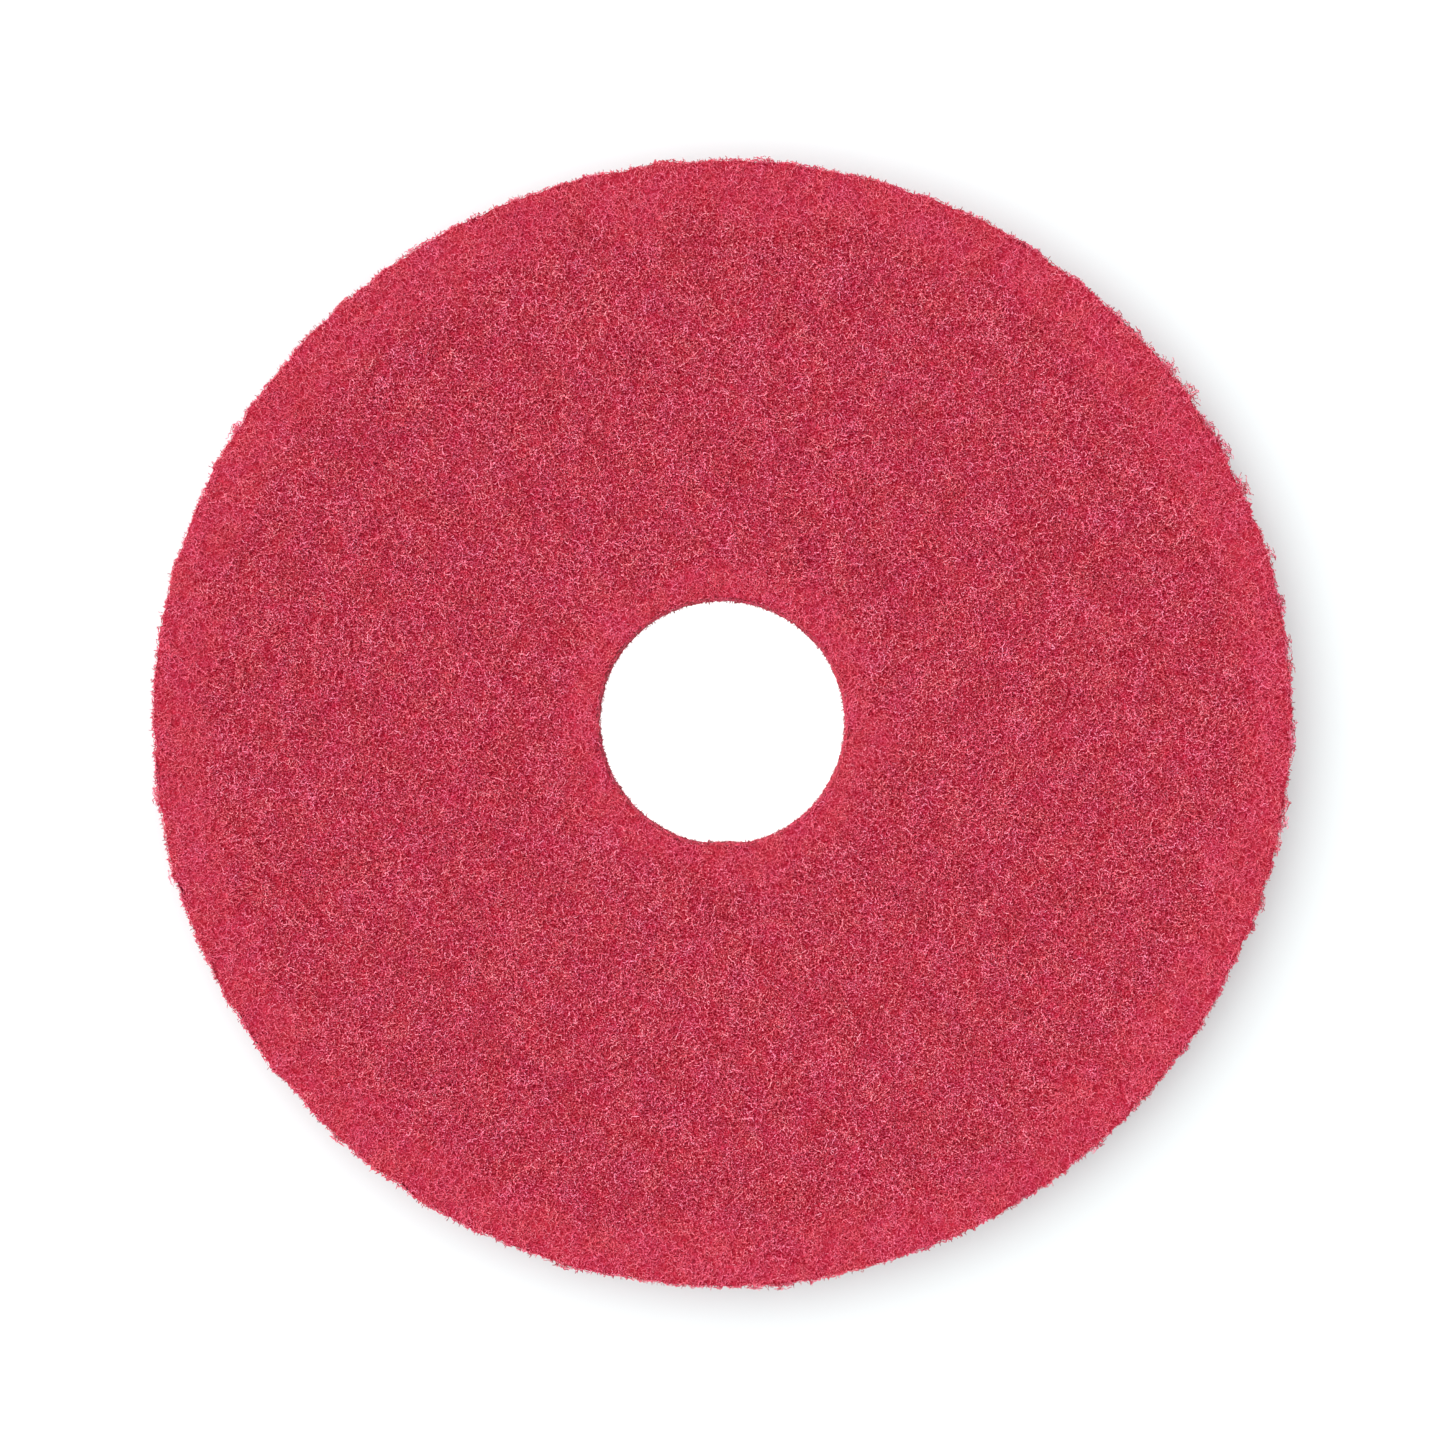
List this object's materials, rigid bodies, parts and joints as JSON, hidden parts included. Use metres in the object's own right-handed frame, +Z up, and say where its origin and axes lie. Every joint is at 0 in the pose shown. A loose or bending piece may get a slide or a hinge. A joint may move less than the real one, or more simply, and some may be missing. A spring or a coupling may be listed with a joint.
{
  "type": "floor buffing pad",
  "caption": "Round red non-woven fibre floor pad with a centre hole, carried under a rotary floor machine to buff and clean hard floors.",
  "frame": {"origin": "centre of the lower face, which works on the floor; the hole's axis passes through it", "axes": "+Z up along the pad's axis, from the working face towards the face the pad driver grips; +X and +Y in the plane of the pad, in any direction, because the pad is round"},
  "size_m": [0.3809, 0.381, 0.0254],
  "materials": {
    "pad_fibre": "matte"
  },
  "bodies": {
    "root": {"pad_web": "pad_fibre"}
  },
  "joints": []
}
